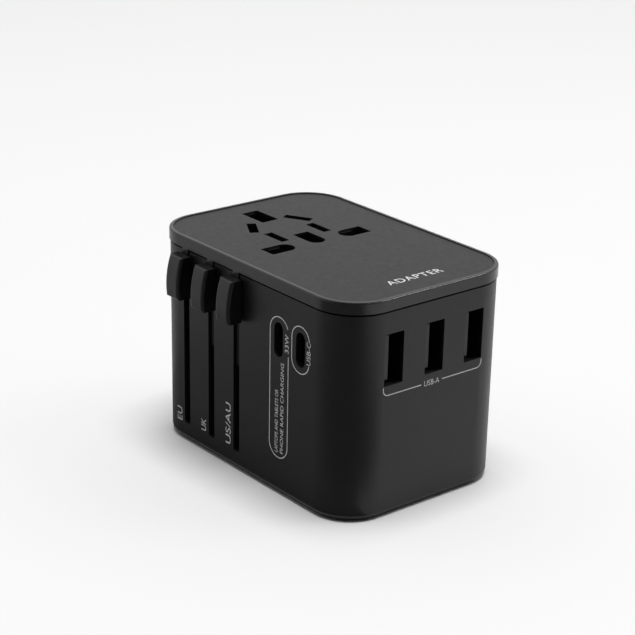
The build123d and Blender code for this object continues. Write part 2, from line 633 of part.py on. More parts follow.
# Rotating blades: hub with its axle, blade, and the clip that keeps the axle in the carriage
blade_tip = us_travel - us_blade_length - us_hub_standout
hub_low = us_travel - us_hub_standout
groove_low = us_top + 0.15
groove_height = 0.6
neck_radius = 1.5
for side, pole in ((1, "live"), (-1, "neutral")):
    pin_y = plug_y + side * us_pin_pitch / 2
    tang_top = us_carriage_bottom - 1.0
    with BuildPart() as hub:
        cylinder(us_plug_x, pin_y, hub_low, us_carriage_bottom - floor_clearance, us_hub_radius)
        fillet(hub.edges().group_by(Axis.Z)[0], 0.5)
        cylinder(us_plug_x, pin_y, us_carriage_bottom - 0.5, groove_low, us_axle_radius)
        cylinder(us_plug_x, pin_y, groove_low, groove_low + groove_height, neck_radius)
        cylinder(us_plug_x, pin_y, groove_low + groove_height, groove_low + groove_height + 0.6,
                 us_axle_radius)
        block(us_plug_x - 2.4, us_plug_x + 2.4, pin_y - us_blade_thickness / 2,
              pin_y + us_blade_thickness / 2, hub_low, tang_top, mode=Mode.SUBTRACT)
    hub.part.label = f"us_hub_{pole}"
    export_step(hub.part, f"parts/us_hub_{pole}.step")
    with BuildPart() as blade:
        with BuildSketch(Plane.XZ.offset(-pin_y - us_blade_thickness / 2)) as blade_outline:
            with Locations((us_plug_x, (blade_tip + hub_low) / 2)):
                Rectangle(us_blade_width, us_blade_length)
            chamfer(blade_outline.vertices().group_by(Axis.Z)[0], 1.0)
            with Locations((us_plug_x, (hub_low + tang_top) / 2)):
                Rectangle(4.8, tang_top - hub_low)
            with Locations((us_plug_x, blade_tip + 4.5)):
                Circle(1.6, mode=Mode.SUBTRACT)
        extrude(amount=us_blade_thickness)
    blade.part.label = f"us_blade_{pole}"
    export_step(blade.part, f"parts/us_blade_{pole}.step")
    with BuildPart() as clip:
        clip_low = groove_low + 0.05
        cylinder(us_plug_x, pin_y, clip_low, clip_low + 0.5, 3.0)
        cylinder(us_plug_x, pin_y, clip_low, clip_low + 0.5, neck_radius + 0.02, mode=Mode.SUBTRACT)
        block(us_plug_x, us_plug_x + 3.5, pin_y - 1.2, pin_y + 1.2, clip_low, clip_low + 0.5,
              mode=Mode.SUBTRACT)
    clip.part.label = f"us_clip_{pole}"
    export_step(clip.part, f"parts/us_clip_{pole}.step")

# Detent springs: two bowed leaves on each web press on the wall beside the slot
leaf_width = 0.7
leaf_thickness = 0.25
for name, x in slider_x.items():
    with BuildPart() as detent_springs:
        for side in (-1, 1):
            inner = x + side * 1.35
            with BuildSketch(Plane.YZ.offset(min(inner, inner + side * leaf_width))):
                with BuildLine():
                    bow = ThreePointArc((web_y + 0.8, detent_low),
                                        (web_y - 0.03, (detent_low + detent_high) / 2),
                                        (web_y + 0.8, detent_high))
                    offset(bow, amount=leaf_thickness / 2, side=Side.BOTH)
                make_face()
            extrude(amount=leaf_width)
    detent_springs.part.label = f"{name}_detent_springs"
    export_step(detent_springs.part, f"parts/{name}_detent_springs.step")

# ================================================================ mains side, fixed pieces
with BuildPart() as insulating_barrier:
    block(barrier_x, barrier_x + barrier_thickness, -inner_width / 2 + fit_gap, inner_width / 2 - fit_gap,
          floor_thickness, skirt_bottom - 0.4)
insulating_barrier.part.label = "insulating_barrier"
export_step(insulating_barrier.part, "parts/insulating_barrier.step")

rail_low = 2.4
contact_base = 32.4
with BuildPart() as live_rail:
    block(-1.5, -1.1, 12.5, inner_width / 2 - fit_gap, rail_low, 30.8)
    block(-1.5, -1.1, 12.5, 13.3, rail_low, contact_base)
live_rail.part.label = "live_rail"
export_step(live_rail.part, "parts/live_rail.step")

with BuildPart() as neutral_rail:
    block(7.6, 8.0, -13.5, -5.0, rail_low, contact_base)
    block(-2.5, 8.0, -13.5, -11.0, contact_base - leaf, contact_base)
neutral_rail.part.label = "neutral_rail"
export_step(neutral_rail.part, "parts/neutral_rail.step")

# Fuse: ceramic tube, two metal caps, two sprung clips on the barrier
fuse_x, fuse_y = 4.6, 16.4
fuse_low, fuse_high = 4.6, 27.4
fuse_cap_height = 4.4
fuse_radius = 2.6
with BuildPart() as fuse_body:
    cylinder(fuse_x, fuse_y, fuse_low + fuse_cap_height, fuse_high - fuse_cap_height, fuse_radius - 0.2)
fuse_body.part.label = "fuse_body"
export_step(fuse_body.part, "parts/fuse_body.step")
with BuildPart() as fuse_caps:
    for z_low in (fuse_low, fuse_high - fuse_cap_height):
        cylinder(fuse_x, fuse_y, z_low, z_low + fuse_cap_height, fuse_radius)
fuse_caps.part.label = "fuse_caps"
export_step(fuse_caps.part, "parts/fuse_caps.step")
with BuildPart() as fuse_clips:
    for z_low in (fuse_low + 0.6, fuse_high - fuse_cap_height + 0.6):
        cylinder(fuse_x, fuse_y, z_low, z_low + 3.2, fuse_radius + leaf)
        block(fuse_x, barrier_x, fuse_y - 1.4, fuse_y + 1.4, z_low, z_low + 3.2)
        cylinder(fuse_x, fuse_y, z_low, z_low + 3.2, fuse_radius + 0.02, mode=Mode.SUBTRACT)
        block(fuse_x - 4.0, fuse_x - 1.2, fuse_y - 3.2, fuse_y + 3.2, z_low, z_low + 3.2,
              mode=Mode.SUBTRACT)
fuse_clips.part.label = "fuse_clips"
export_step(fuse_clips.part, "parts/fuse_clips.step")

# ================================================================ charger
# Boards: both follow the rounded end of the housing
for board_name, board_z, hole_radius in (("power_board", power_board_z, post_radius + 0.15),
                                         ("usb_board", usb_board_z, 1.1)):
    with BuildPart() as board:
        with BuildSketch(Plane.XY.offset(board_z)) as board_outline:
            span(board_back_x, board_front_x, -board_half_width, board_half_width)
            fillet(board_outline.vertices().group_by(Axis.X)[-1], board_corner)
            for x, y in board_posts:
                with Locations((x, y)):
                    Circle(hole_radius, mode=Mode.SUBTRACT)
        extrude(amount=board_thickness)
    board.part.label = board_name
    export_step(board.part, f"parts/{board_name}.step")
power_top = power_board_z + board_thickness
usb_top = usb_board_z + board_thickness

with BuildPart() as usb_board_screws:
    for x, y in board_posts:
        cylinder(x, y, usb_top, usb_top + screw_head_height, 1.6)
        cylinder(x, y, usb_board_z - 5.0, usb_top, 1.0)
        with BuildSketch(Plane.XY.offset(usb_top + screw_head_height - 0.7)):
            with Locations((x, y)):
                Rectangle(2.0, 0.5)
                Rectangle(0.5, 2.0)
        extrude(amount=0.7, mode=Mode.SUBTRACT)
usb_board_screws.part.label = "usb_board_screws"
export_step(usb_board_screws.part, "parts/usb_board_screws.step")

# Pin header that joins the two boards
link_x = 11.6
with BuildPart() as board_link:
    block(link_x - 0.7, link_x + 0.7, -6.0, 6.0, power_top, power_top + 2.5)
    for pin_number in range(6):
        cylinder(link_x, -5.0 + 2.0 * pin_number, power_top + 2.5, usb_board_z, 0.35)
board_link.part.label = "board_link"
export_step(board_link.part, "parts/board_link.step")

# Transformer: ferrite core with a winding around its middle leg
core_x_low, core_x_high = 14.5, 27.5
core_half_width = 7.5
core_low, core_high = power_top + 2.0, 22.0
leg_half = 2.2
yoke = 2.2
window_half = 5.3
with BuildPart() as transformer_core:
    block(core_x_low, core_x_high, -core_half_width, core_half_width, core_low, core_high)
    for y_low, y_high in ((leg_half, window_half), (-window_half, -leg_half)):
        block(core_x_low, core_x_high, y_low, y_high, core_low + yoke, core_high - yoke, mode=Mode.SUBTRACT)
    chamfer(transformer_core.edges().filter_by(Axis.X).group_by(Axis.Z)[-1], 0.5)
transformer_core.part.label = "transformer_core"
export_step(transformer_core.part, "parts/transformer_core.step")
with BuildPart() as transformer_winding:
    block(core_x_low - 0.8, core_x_high + 0.8, -core_half_width, core_half_width, power_top, core_low)
    with BuildSketch(Plane.XY.offset(core_low + yoke + 0.2)):
        with Locations(((core_x_low + core_x_high) / 2, 0)):
            RectangleRounded(core_x_high - core_x_low + 3.6, 2 * window_half - 0.4, 2.0)
            Rectangle(core_x_high - core_x_low + 0.2, 2 * leg_half + 0.2, mode=Mode.SUBTRACT)
    extrude(amount=core_high - core_low - 2 * yoke - 0.4)
transformer_winding.part.label = "transformer_winding"
export_step(transformer_winding.part, "parts/transformer_winding.step")


def add_capacitor(x, y, radius, height):
    """Adds an upright can with a rounded top and the groove that seals its foot."""
    with BuildSketch(Plane(origin=(x, y, power_top), x_dir=(1, 0, 0), z_dir=(0, -1, 0))) as can:
        span(0, radius, 0, height)
        fillet(can.vertices().group_by(Axis.Z)[-1].sort_by(Axis.X)[-1], 0.6)
        with Locations((radius + 0.15, 1.6)):
            Circle(0.5, mode=Mode.SUBTRACT)
    revolve(can.sketch, axis=Axis((x, y, 0), (0, 0, 1)))


with BuildPart() as input_capacitors:
    for x, y in ((15.4, 14.4), (24.6, 14.0)):
        add_capacitor(x, y, 4.0, 18.0)
input_capacitors.part.label = "input_capacitors"
export_step(input_capacitors.part, "parts/input_capacitors.step")
with BuildPart() as output_capacitors:
    for x, y in ((15.2, -13.4), (22.4, -13.4), (29.6, -10.4)):
        add_capacitor(x, y, 3.15, 9.0)
output_capacitors.part.label = "output_capacitors"
export_step(output_capacitors.part, "parts/output_capacitors.step")

# Choke: a ring core standing on edge, with its turns
choke_x, choke_z = 31.3, power_top + 5.2
choke_turns = 12
with BuildPart() as choke:
    with Locations(Location((choke_x, 0, choke_z), (0, 90, 0))):
        Torus(3.3, 1.1)
    with Locations(Plane(origin=(choke_x, 0, choke_z), z_dir=(1, 0, 0))):
        with PolarLocations(3.3, choke_turns, start_angle=35, angular_range=290):
            Torus(1.25, 0.3, rotation=(90, 0, 0))
choke.part.label = "choke"
export_step(choke.part, "parts/choke.step")

# Rectifier and control chips
with BuildPart() as control_chips:
    block(25.4, 28.0, -20.8, -14.9, power_top, power_top + 2.4)
    block(18.0, 22.0, -21.0, -17.4, power_top, power_top + 1.5)
    block(14.0, 20.0, -3.0, 3.0, usb_top, usb_top + 1.0)
    block(14.5, 18.5, 7.0, 11.0, usb_top, usb_top + 1.0)
    chamfer(control_chips.faces().filter_by(Axis.Z).group_by(Axis.Z)[-1].edges(), 0.2)
control_chips.part.label = "control_chips"
export_step(control_chips.part, "parts/control_chips.step")

# USB-A ports: steel shell, insulating tongue, four contact strips
usb_a_inner_height = usb_a_opening_height + 0.2
usb_a_inner_width = usb_a_opening_width + 0.05
usb_a_back_x = usb_a_front_x - usb_a_depth
shell_plane = Plane(origin=(usb_a_back_x, 0, 0), x_dir=(0, 1, 0), z_dir=(1, 0, 0))
tongue_low = -usb_a_inner_width / 2 + 0.65
tongue_high = tongue_low + usb_a_tongue_thickness
for port, y in enumerate(usb_a_y, start=1):
    with BuildPart() as usb_a_shell:
        with BuildSketch(shell_plane):
            with Locations((y, usb_centre_z)):
                RectangleRounded(usb_a_inner_width + 2 * shell_sheet,
                                 usb_a_inner_height + 2 * shell_sheet, 2 * shell_sheet)
        extrude(amount=usb_a_depth)
        with BuildSketch(shell_plane.offset(shell_sheet)):
            with Locations((y, usb_centre_z)):
                Rectangle(usb_a_inner_width, usb_a_inner_height)
        extrude(amount=usb_a_depth, mode=Mode.SUBTRACT)
        # Feet soldered to the board
        for x in (usb_a_back_x + 2.0, usb_a_back_x + 9.0):
            block(x, x + 2.0, y - 2.0, y + 2.0, usb_top,
                  usb_centre_z - usb_a_inner_height / 2 - shell_sheet / 2)
    usb_a_shell.part.label = f"usb_a_shell_{port}"
    export_step(usb_a_shell.part, f"parts/usb_a_shell_{port}.step")
    with BuildPart() as usb_a_tongue:
        inner_back = usb_a_back_x + shell_sheet
        block(inner_back, inner_back + 4.2, y - usb_a_inner_width / 2, y + usb_a_inner_width / 2,
              usb_centre_z - usb_a_inner_height / 2, usb_centre_z + usb_a_inner_height / 2)
        block(inner_back, usb_a_front_x - usb_a_tongue_recess, y + tongue_low, y + tongue_high,
              usb_centre_z - 5.55, usb_centre_z + 5.55)
        chamfer(usb_a_tongue.faces().sort_by(Axis.X)[-1].edges(), 0.3)
    usb_a_tongue.part.label = f"usb_a_tongue_{port}"
    export_step(usb_a_tongue.part, f"parts/usb_a_tongue_{port}.step")
with BuildPart() as usb_a_contacts:
    for y in usb_a_y:
        for offset_z in (-3.5, -1.0, 1.0, 3.5):
            block(usb_a_back_x + 4.5, usb_a_front_x - 1.6, y + tongue_high, y + tongue_high + 0.15,
                  usb_centre_z + offset_z - 0.5, usb_centre_z + offset_z + 0.5)
usb_a_contacts.part.label = "usb_a_contacts"
export_step(usb_a_contacts.part, "parts/usb_a_contacts.step")

# USB-C ports: drawn shell with a closed back, thin tongue, and an upright board that carries it
usb_c_back_y = usb_c_front_y + usb_c_depth
for port, x in enumerate(usb_c_x, start=1):
    shell_front = Plane(origin=(x, usb_c_front_y, usb_centre_z), x_dir=(1, 0, 0), z_dir=(0, -1, 0))
    with BuildPart() as usb_c_shell:
        with BuildSketch(shell_front):
            SlotOverall(usb_c_inner_height + 2 * shell_sheet,
                        usb_c_inner_width + 2 * shell_sheet, rotation=90)
        extrude(amount=-usb_c_depth)
        with BuildSketch(shell_front):
            SlotOverall(usb_c_inner_height, usb_c_inner_width, rotation=90)
        extrude(amount=-usb_c_depth + shell_sheet, mode=Mode.SUBTRACT)
    usb_c_shell.part.label = f"usb_c_shell_{port}"
    export_step(usb_c_shell.part, f"parts/usb_c_shell_{port}.step")
    with BuildPart() as usb_c_tongue:
        with BuildSketch(shell_front.offset(-usb_c_depth + shell_sheet)):
            SlotOverall(usb_c_inner_height, usb_c_inner_width, rotation=90)
        extrude(amount=1.2)
        block(x - 0.35, x + 0.35, usb_c_front_y + 1.1, usb_c_back_y - 1.0, usb_centre_z - 3.3,
              usb_centre_z + 3.3)
    usb_c_tongue.part.label = f"usb_c_tongue_{port}"
    export_step(usb_c_tongue.part, f"parts/usb_c_tongue_{port}.step")
with BuildPart() as usb_c_risers:
    for x in usb_c_x:
        riser_x = x + usb_c_inner_width / 2 + shell_sheet + 0.05
        block(riser_x, riser_x + 1.0, front_inside_y + 0.3, usb_c_back_y + 1.2, usb_top, usb_centre_z + 5.0)
usb_c_risers.part.label = "usb_c_risers"
export_step(usb_c_risers.part, "parts/usb_c_risers.step")
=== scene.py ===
import json
import math

import bpy
from mathutils import Matrix, Vector


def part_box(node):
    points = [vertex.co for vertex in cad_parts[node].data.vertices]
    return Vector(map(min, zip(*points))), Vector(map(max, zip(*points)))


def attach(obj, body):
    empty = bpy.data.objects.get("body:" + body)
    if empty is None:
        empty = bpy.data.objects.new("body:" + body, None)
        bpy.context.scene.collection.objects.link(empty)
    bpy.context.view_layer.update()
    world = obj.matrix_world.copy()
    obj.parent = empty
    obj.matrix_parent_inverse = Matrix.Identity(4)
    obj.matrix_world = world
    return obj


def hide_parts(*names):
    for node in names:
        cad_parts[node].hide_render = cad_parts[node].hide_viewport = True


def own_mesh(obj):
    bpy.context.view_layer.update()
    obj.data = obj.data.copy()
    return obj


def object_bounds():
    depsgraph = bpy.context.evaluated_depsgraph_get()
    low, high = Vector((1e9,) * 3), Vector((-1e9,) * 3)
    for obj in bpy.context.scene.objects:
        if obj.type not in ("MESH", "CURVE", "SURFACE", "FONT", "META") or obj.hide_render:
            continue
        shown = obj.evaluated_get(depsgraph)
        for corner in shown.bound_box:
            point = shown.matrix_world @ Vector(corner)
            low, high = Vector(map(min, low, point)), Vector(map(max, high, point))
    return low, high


# Looks of the universal travel adapter. Everything is in metres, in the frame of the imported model:
# +Z up through the world socket, +X the short side with the USB-A ports, -Y the long side with the
# plug sliders and the USB-C ports.

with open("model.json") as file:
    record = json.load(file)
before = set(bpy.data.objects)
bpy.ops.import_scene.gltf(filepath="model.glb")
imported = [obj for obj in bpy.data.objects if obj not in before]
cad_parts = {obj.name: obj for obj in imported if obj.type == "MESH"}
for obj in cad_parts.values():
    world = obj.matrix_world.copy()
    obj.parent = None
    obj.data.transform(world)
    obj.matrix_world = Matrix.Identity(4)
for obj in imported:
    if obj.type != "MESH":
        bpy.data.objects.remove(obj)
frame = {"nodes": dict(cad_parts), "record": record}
cad_low, cad_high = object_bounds()
MM = 0.001

# ---------------------------------------------------------------- places, read from the frame
housing_low, housing_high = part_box("main_housing")
panel_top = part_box("socket_panel")[1].z
front_y = housing_low.y
side_x = housing_high.x


def centre(node):
    """The centre of a CAD node's box."""
    low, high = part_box(node)
    return (low + high) / 2


# ---------------------------------------------------------------- materials
def new_material(name):
    """An empty node material, with its tree and its Principled shader."""
    material = bpy.data.materials.new(name)
    material.use_nodes = True
    return material, material.node_tree, material.node_tree.nodes["Principled BSDF"]


def add_node(tree, kind, **settings):
    """Adds a node; settings that name an input set that input, the others set the node itself."""
    node = tree.nodes.new(kind)
    for key, value in settings.items():
        if key in node.inputs:
            node.inputs[key].default_value = value
        else:
            setattr(node, key, value)
    return node


def noise(tree, scale, detail=2.0, roughness=0.5):
    """Noise over the surface, in turns per metre."""
    place = add_node(tree, "ShaderNodeTexCoord")
    made = add_node(tree, "ShaderNodeTexNoise", Scale=scale, Detail=detail, Roughness=roughness)
    tree.links.new(place.outputs["Object"], made.inputs["Vector"])
    return made.outputs["Fac"]


def ramp(tree, value, low, high, at=(0.3, 0.7)):
    """A grey or colour ramp between low and high."""
    made = add_node(tree, "ShaderNodeValToRGB")
    for element, place, colour in zip(made.color_ramp.elements, at, (low, high)):
        element.position = place
        element.color = (*colour, 1.0)
    tree.links.new(value, made.inputs["Fac"])
    return made.outputs["Color"]


def spread(tree, value, low, high):
    """Maps 0.3 to 0.7 of value to low to high."""
    made = add_node(tree, "ShaderNodeMapRange")
    made.inputs["From Min"].default_value = 0.3
    made.inputs["From Max"].default_value = 0.7
    made.inputs["To Min"].default_value = low
    made.inputs["To Max"].default_value = high
    tree.links.new(value, made.inputs["Value"])
    return made.outputs["Result"]


def bump(tree, height, strength, distance, below=None):
    """A bump node; below is another bump's normal."""
    made = add_node(tree, "ShaderNodeBump", Strength=strength, Distance=distance)
    tree.links.new(height, made.inputs["Height"])
    if below is not None:
        tree.links.new(below, made.inputs["Normal"])
    return made.outputs["Normal"]


def moulded_plastic(name, dark, light, roughness, grain=0.35, specular=0.5):
    """Moulded plastic: fine spark-eroded grain, slightly uneven tone and gloss."""
    material, tree, shader = new_material(name)
    shader.inputs["Specular IOR Level"].default_value = specular
    tone = noise(tree, 260.0, 3.0)
    tree.links.new(ramp(tree, tone, dark, light), shader.inputs["Base Color"])
    gloss = noise(tree, 900.0, 4.0, 0.65)
    tree.links.new(spread(tree, gloss, roughness - 0.035, roughness + 0.035), shader.inputs["Roughness"])
    fine = bump(tree, noise(tree, 9000.0, 2.0, 0.6), grain, 0.00002)
    broad = bump(tree, noise(tree, 2600.0, 2.0, 0.5), grain * 0.5, 0.00003, fine)
    tree.links.new(broad, shader.inputs["Normal"])
    return material


def metal(name, dark, light, roughness, scale=(1.0, 1.0, 14.0)):
    """Plated or rolled metal with fine drawing lines along Z."""
    material, tree, shader = new_material(name)
    shader.inputs["Metallic"].default_value = 1.0
    place = add_node(tree, "ShaderNodeTexCoord")
    stretch = add_node(tree, "ShaderNodeMapping", Scale=scale)
    lines = add_node(tree, "ShaderNodeTexNoise", Scale=1400.0, Detail=3.0)
    tree.links.new(place.outputs["Object"], stretch.inputs["Vector"])
    tree.links.new(stretch.outputs["Vector"], lines.inputs["Vector"])
    tree.links.new(ramp(tree, lines.outputs["Fac"], dark, light), shader.inputs["Base Color"])
    tree.links.new(spread(tree, lines.outputs["Fac"], roughness - 0.06, roughness + 0.08),
                   shader.inputs["Roughness"])
    tree.links.new(bump(tree, lines.outputs["Fac"], 0.25, 0.00001), shader.inputs["Normal"])
    return material


def circuit_board(name):
    """Green solder mask with darker copper areas and faint tracks."""
    material, tree, shader = new_material(name)
    place = add_node(tree, "ShaderNodeTexCoord")
    tracks = add_node(tree, "ShaderNodeTexVoronoi", Scale=420.0, distance="MANHATTAN",
                      feature="F1")
    tree.links.new(place.outputs["Object"], tracks.inputs["Vector"])
    colour = ramp(tree, tracks.outputs["Distance"], (0.006, 0.07, 0.025), (0.012, 0.14, 0.05), (0.2, 0.45))
    tree.links.new(colour, shader.inputs["Base Color"])
    tree.links.new(spread(tree, noise(tree, 700.0), 0.25, 0.4), shader.inputs["Roughness"])
    tree.links.new(bump(tree, tracks.outputs["Distance"], 0.3, 0.00002), shader.inputs["Normal"])
    return material


def printed_ink(name):
    """White pad-printed ink: thin and slightly uneven."""
    material, tree, shader = new_material(name)
    cover = noise(tree, 5200.0, 3.0, 0.6)
    tree.links.new(ramp(tree, cover, (0.34, 0.34, 0.34), (0.52, 0.52, 0.52)), shader.inputs["Base Color"])
    tree.links.new(spread(tree, noise(tree, 3000.0), 0.5, 0.65), shader.inputs["Roughness"])
    tree.links.new(bump(tree, cover, 0.2, 0.00001), shader.inputs["Normal"])
    return material


def grey(value, blue=1.0):
    """A grey as a colour, with its blue channel scaled."""
    return value, value, value * blue


materials = {
    "casing_plastic": moulded_plastic("casing_plastic", grey(0.0040, 1.04), grey(0.0054, 1.04), 0.40,
                                      specular=0.38),
    "cover_plastic": moulded_plastic("cover_plastic", grey(0.0040, 1.04), grey(0.0054, 1.04), 0.23,
                                     grain=0.05, specular=0.5),
    "panel_plastic": moulded_plastic("panel_plastic", grey(0.0040, 1.03), grey(0.0054, 1.03), 0.42,
                                     specular=0.27),
    "knob_plastic": moulded_plastic("knob_plastic", grey(0.0026, 1.04), grey(0.0036, 1.04), 0.36,
                                    specular=0.42),
    "slider_plastic": moulded_plastic("slider_plastic", grey(0.0020), grey(0.0030), 0.5, specular=0.3),
    "core_plastic": moulded_plastic("core_plastic", grey(0.0020), grey(0.0030), 0.55, specular=0.3),
    "sleeve_plastic": moulded_plastic("sleeve_plastic", grey(0.0070), grey(0.0100), 0.4),
    "port_plastic": moulded_plastic("port_plastic", grey(0.0050), grey(0.0080), 0.4),
    "chip_plastic": moulded_plastic("chip_plastic", grey(0.0080), grey(0.0120), 0.5),
    "capacitor_can": moulded_plastic("capacitor_can", (0.008, 0.009, 0.02), (0.012, 0.013, 0.03), 0.3),
    "winding_tape": moulded_plastic("winding_tape", (0.5, 0.33, 0.03), (0.62, 0.42, 0.05), 0.3),
    "fuse_ceramic": moulded_plastic("fuse_ceramic", (0.7, 0.68, 0.62), (0.78, 0.76, 0.7), 0.35),
    "ferrite": moulded_plastic("ferrite", grey(0.020), grey(0.035), 0.6, grain=0.8),
    "plug_metal": metal("plug_metal", (0.62, 0.61, 0.58), (0.75, 0.74, 0.71), 0.24),
    "contact_brass": metal("contact_brass", (0.62, 0.42, 0.16), (0.74, 0.52, 0.22), 0.28),
    "spring_steel": metal("spring_steel", grey(0.45), grey(0.6), 0.3),
    "port_steel": metal("port_steel", grey(0.10), grey(0.16), 0.35, scale=(14.0, 1.0, 1.0)),
    "screw_steel": metal("screw_steel", grey(0.40), grey(0.52), 0.32),
    "fuse_cap_metal": metal("fuse_cap_metal", grey(0.60), grey(0.72), 0.22),
    "choke_copper": metal("choke_copper", (0.55, 0.22, 0.08), (0.68, 0.3, 0.12), 0.3),
    "circuit_board": circuit_board("circuit_board"),
}
ink = printed_ink("printed_ink")

for part in frame["record"]["subparts"]:
    node = frame["nodes"][part["node"]]
    node.data.materials.clear()
    node.data.materials.append(materials[part["material_slot"]])


# ---------------------------------------------------------------- shutter spring
def coil_spring(name, low, high, wire_radius, turns, steps=24, sides=8):
    """A closed mesh of a wire coiled along X, which fills the box from low to high."""
    middle = (low + high) / 2
    coil_radius = (high.y - low.y) / 2 - wire_radius
    start = low.x + wire_radius
    length = high.x - low.x - 2 * wire_radius
    rise = length / turns / math.tau
    vertices = []
    for step in range(turns * steps + 1):
        turn = math.tau * step / steps
        outward = Vector((0, math.cos(turn), math.sin(turn)))
        along = Vector((rise, -coil_radius * math.sin(turn), coil_radius * math.cos(turn))).normalized()
        across = along.cross(outward)
        point = Vector((start + rise * turn, middle.y, middle.z)) + coil_radius * outward
        for side in range(sides):
            angle = math.tau * side / sides
            vertices.append(point + wire_radius * (math.cos(angle) * outward + math.sin(angle) * across))
    rings = turns * steps
    faces = [(sides * ring + side, sides * ring + (side + 1) % sides,
              sides * (ring + 1) + (side + 1) % sides, sides * (ring + 1) + side)
             for ring in range(rings) for side in range(sides)]
    faces += [tuple(reversed(range(sides))), tuple(range(sides * rings, sides * (rings + 1)))]
    mesh = bpy.data.meshes.new(name)
    mesh.from_pydata(vertices, [], faces)
    mesh.shade_smooth()
    piece = bpy.data.objects.new(name, mesh)
    bpy.context.scene.collection.objects.link(piece)
    return piece


# The real coil shortens as the shutter slides towards the spring's seat, which the CAD solid can't show;
# this coil is drawn at its rest length in the solid's place
SPRING_WIRE_RADIUS = 0.15 * MM
SPRING_TURNS = 7
spring_low, spring_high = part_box("shutter_spring")
spring = coil_spring("shutter_spring_coil", spring_low, spring_high, SPRING_WIRE_RADIUS, SPRING_TURNS)
spring.data.materials.append(materials["spring_steel"])
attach(spring, "housing")
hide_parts("shutter_spring")
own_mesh(spring)


# ---------------------------------------------------------------- printed marks
INK_LIFT = 0.004 * MM
INK_THICKNESS = 0.012 * MM
LINE_WIDTH = 0.24 * MM
SHARPEST_JOINT = 0.4  # cosine of half a bend, past which a line's corner isn't drawn out further

# Where print goes: the origin and the two directions of each face's own flat frame
FRONT_UP = Matrix(((0, -1, 0, 0), (0, 0, -1, front_y), (1, 0, 0, 0), (0, 0, 0, 1)))
FRONT = Matrix(((1, 0, 0, 0), (0, 0, -1, front_y), (0, 1, 0, 0), (0, 0, 0, 1)))
SIDE = Matrix(((0, 0, 1, side_x), (1, 0, 0, 0), (0, 1, 0, 0), (0, 0, 0, 1)))
TOP = Matrix(((0, -1, 0, 0), (1, 0, 0, 0), (0, 0, 1, panel_top), (0, 0, 0, 1)))


def finish_print(name, mesh, face):
    """Gives flat print its thickness, lays it on a face and lets it ride on the housing."""
    piece = bpy.data.objects.new(name, mesh)
    bpy.context.scene.collection.objects.link(piece)
    mesh.transform(face @ Matrix.Translation((0, 0, INK_LIFT)))
    thicken = piece.modifiers.new("ink", "SOLIDIFY")
    thicken.thickness = INK_THICKNESS
    thicken.offset = 1.0
    mesh.materials.clear()
    mesh.materials.append(ink)
    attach(piece, "housing")


def arc(centre_x, centre_y, radius, start, end, steps=14):
    """Points along an arc, its angles in degrees."""
    for step in range(steps + 1):
        angle = math.radians(start + (end - start) * step / steps)
        yield centre_x + radius * math.cos(angle), centre_y + radius * math.sin(angle)


def print_line(name, points, face):
    """A printed line of even width along points, which are in millimetres on the face."""
    path = [Vector(p) * MM for p in points]
    vertices = []
    for index, point in enumerate(path):
        before = path[max(index - 1, 0)]
        after = path[min(index + 1, len(path) - 1)]
        first = point - before
        second = after - point
        first = first.normalized() if first.length else second.normalized()
        second = second.normalized() if second.length else first
        along = (first + second).normalized()
        across = Vector((-along.y, along.x)) * LINE_WIDTH / 2 / max(along.dot(first), SHARPEST_JOINT)
        vertices += [(*(point - across), 0.0), (*(point + across), 0.0)]
    faces = [(2 * i, 2 * i + 2, 2 * i + 3, 2 * i + 1) for i in range(len(path) - 1)]
    mesh = bpy.data.meshes.new(name)
    mesh.from_pydata(vertices, [], faces)
    finish_print(name, mesh, face)


def print_words(name, words, face, x, y, cap_height, length, spacing=1.0):
    """Printed capitals, centred on x, y, in millimetres on the face, drawn out to length."""
    curve = bpy.data.curves.new(name, "FONT")
    curve.body = words
    curve.space_character = spacing
    curve.resolution_u = 4
    letters = bpy.data.objects.new(name, curve)
    bpy.context.scene.collection.objects.link(letters)
    bpy.context.view_layer.update()
    mesh = bpy.data.meshes.new_from_object(letters.evaluated_get(bpy.context.evaluated_depsgraph_get()))
    bpy.data.objects.remove(letters)
    bpy.data.curves.remove(curve)
    xs = [v.co.x for v in mesh.vertices]
    ys = [v.co.y for v in mesh.vertices]
    middle = Vector(((min(xs) + max(xs)) / 2, (min(ys) + max(ys)) / 2, 0))
    tall = cap_height * MM / (max(ys) - min(ys))
    wide = length * MM / (max(xs) - min(xs))
    mesh.transform(Matrix.Translation((x * MM, y * MM, 0)) @ Matrix.Diagonal((wide, tall, 1, 1))
                   @ Matrix.Translation(-middle))
    finish_print(name, mesh, face)


# Country marks on the -X side of the sliders, read from the bottom upwards: each one's words and the
# heights where they start and end
mark_offset = 3.25
mark_height = 2.0
country_marks = (("eu", "EU", 4.85, 8.35), ("uk", "UK", 5.5, 8.6), ("us", "US/AU", 5.7, 16.3))
for slider, words, low, high in country_marks:
    slot_x = centre(f"{slider}_knob").x / MM
    print_words(f"print_{slider}", words, FRONT_UP, (low + high) / 2, mark_offset - slot_x,
                mark_height, length=high - low)

